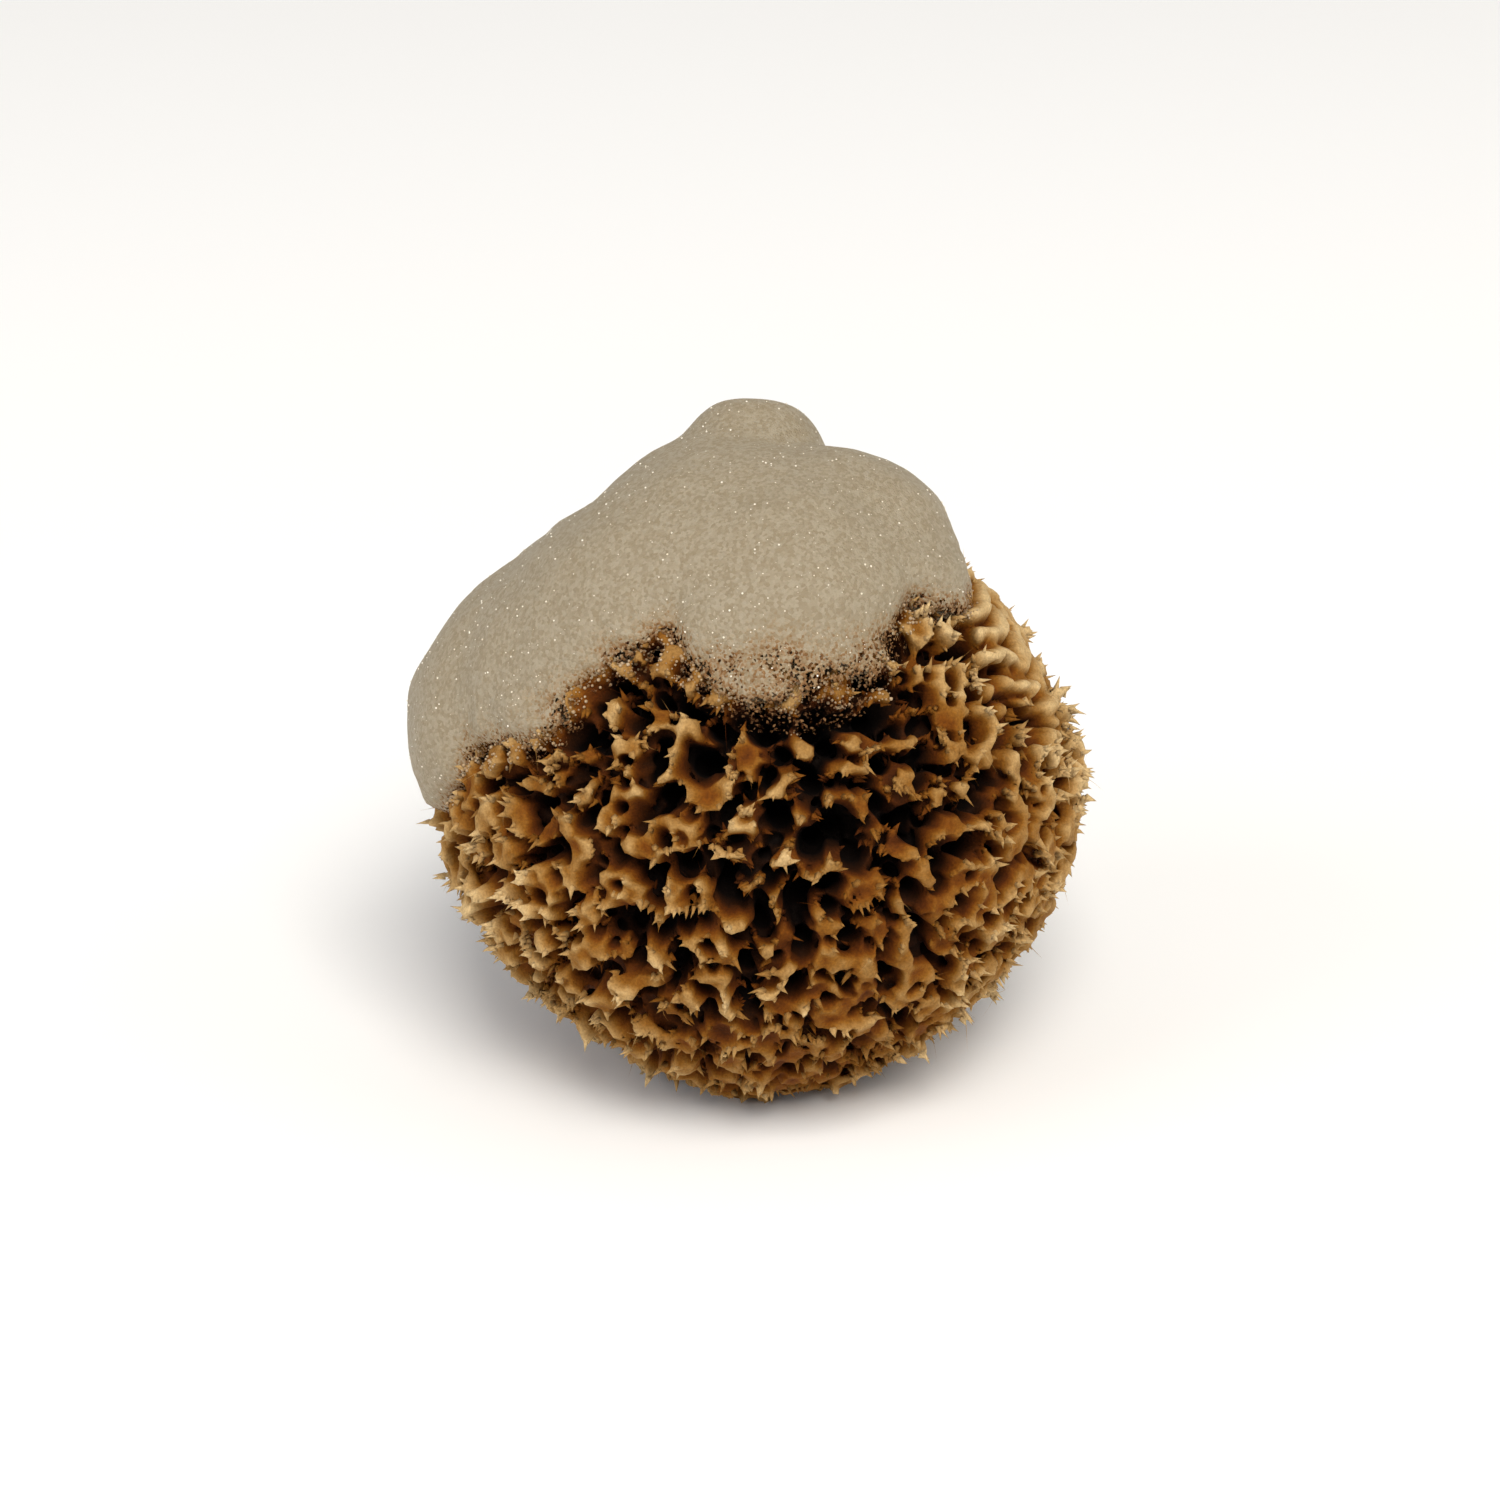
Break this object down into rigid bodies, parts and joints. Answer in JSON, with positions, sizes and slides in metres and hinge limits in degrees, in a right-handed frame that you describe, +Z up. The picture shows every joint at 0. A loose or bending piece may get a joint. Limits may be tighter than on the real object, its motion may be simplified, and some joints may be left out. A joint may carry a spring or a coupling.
{
  "type": "sea sponge",
  "caption": "Rounded natural bath sponge of close-set fibrous tufts, cut flat below to stand, with a thick cap of soap lather over its top and down its front and one side.",
  "frame": {"origin": "middle of the flat cut that the sponge stands on, under the centre the tufts grow out from", "axes": "+Z up; -Y towards the front, where the middle tongue of lather runs down; +X to the right as seen from the front"},
  "size_m": [0.1034, 0.1019, 0.1007],
  "materials": {
    "spongin": "matte",
    "lather": "satin"
  },
  "bodies": {
    "root": {"sponge": "spongin", "soap_lather": "lather"}
  },
  "joints": []
}
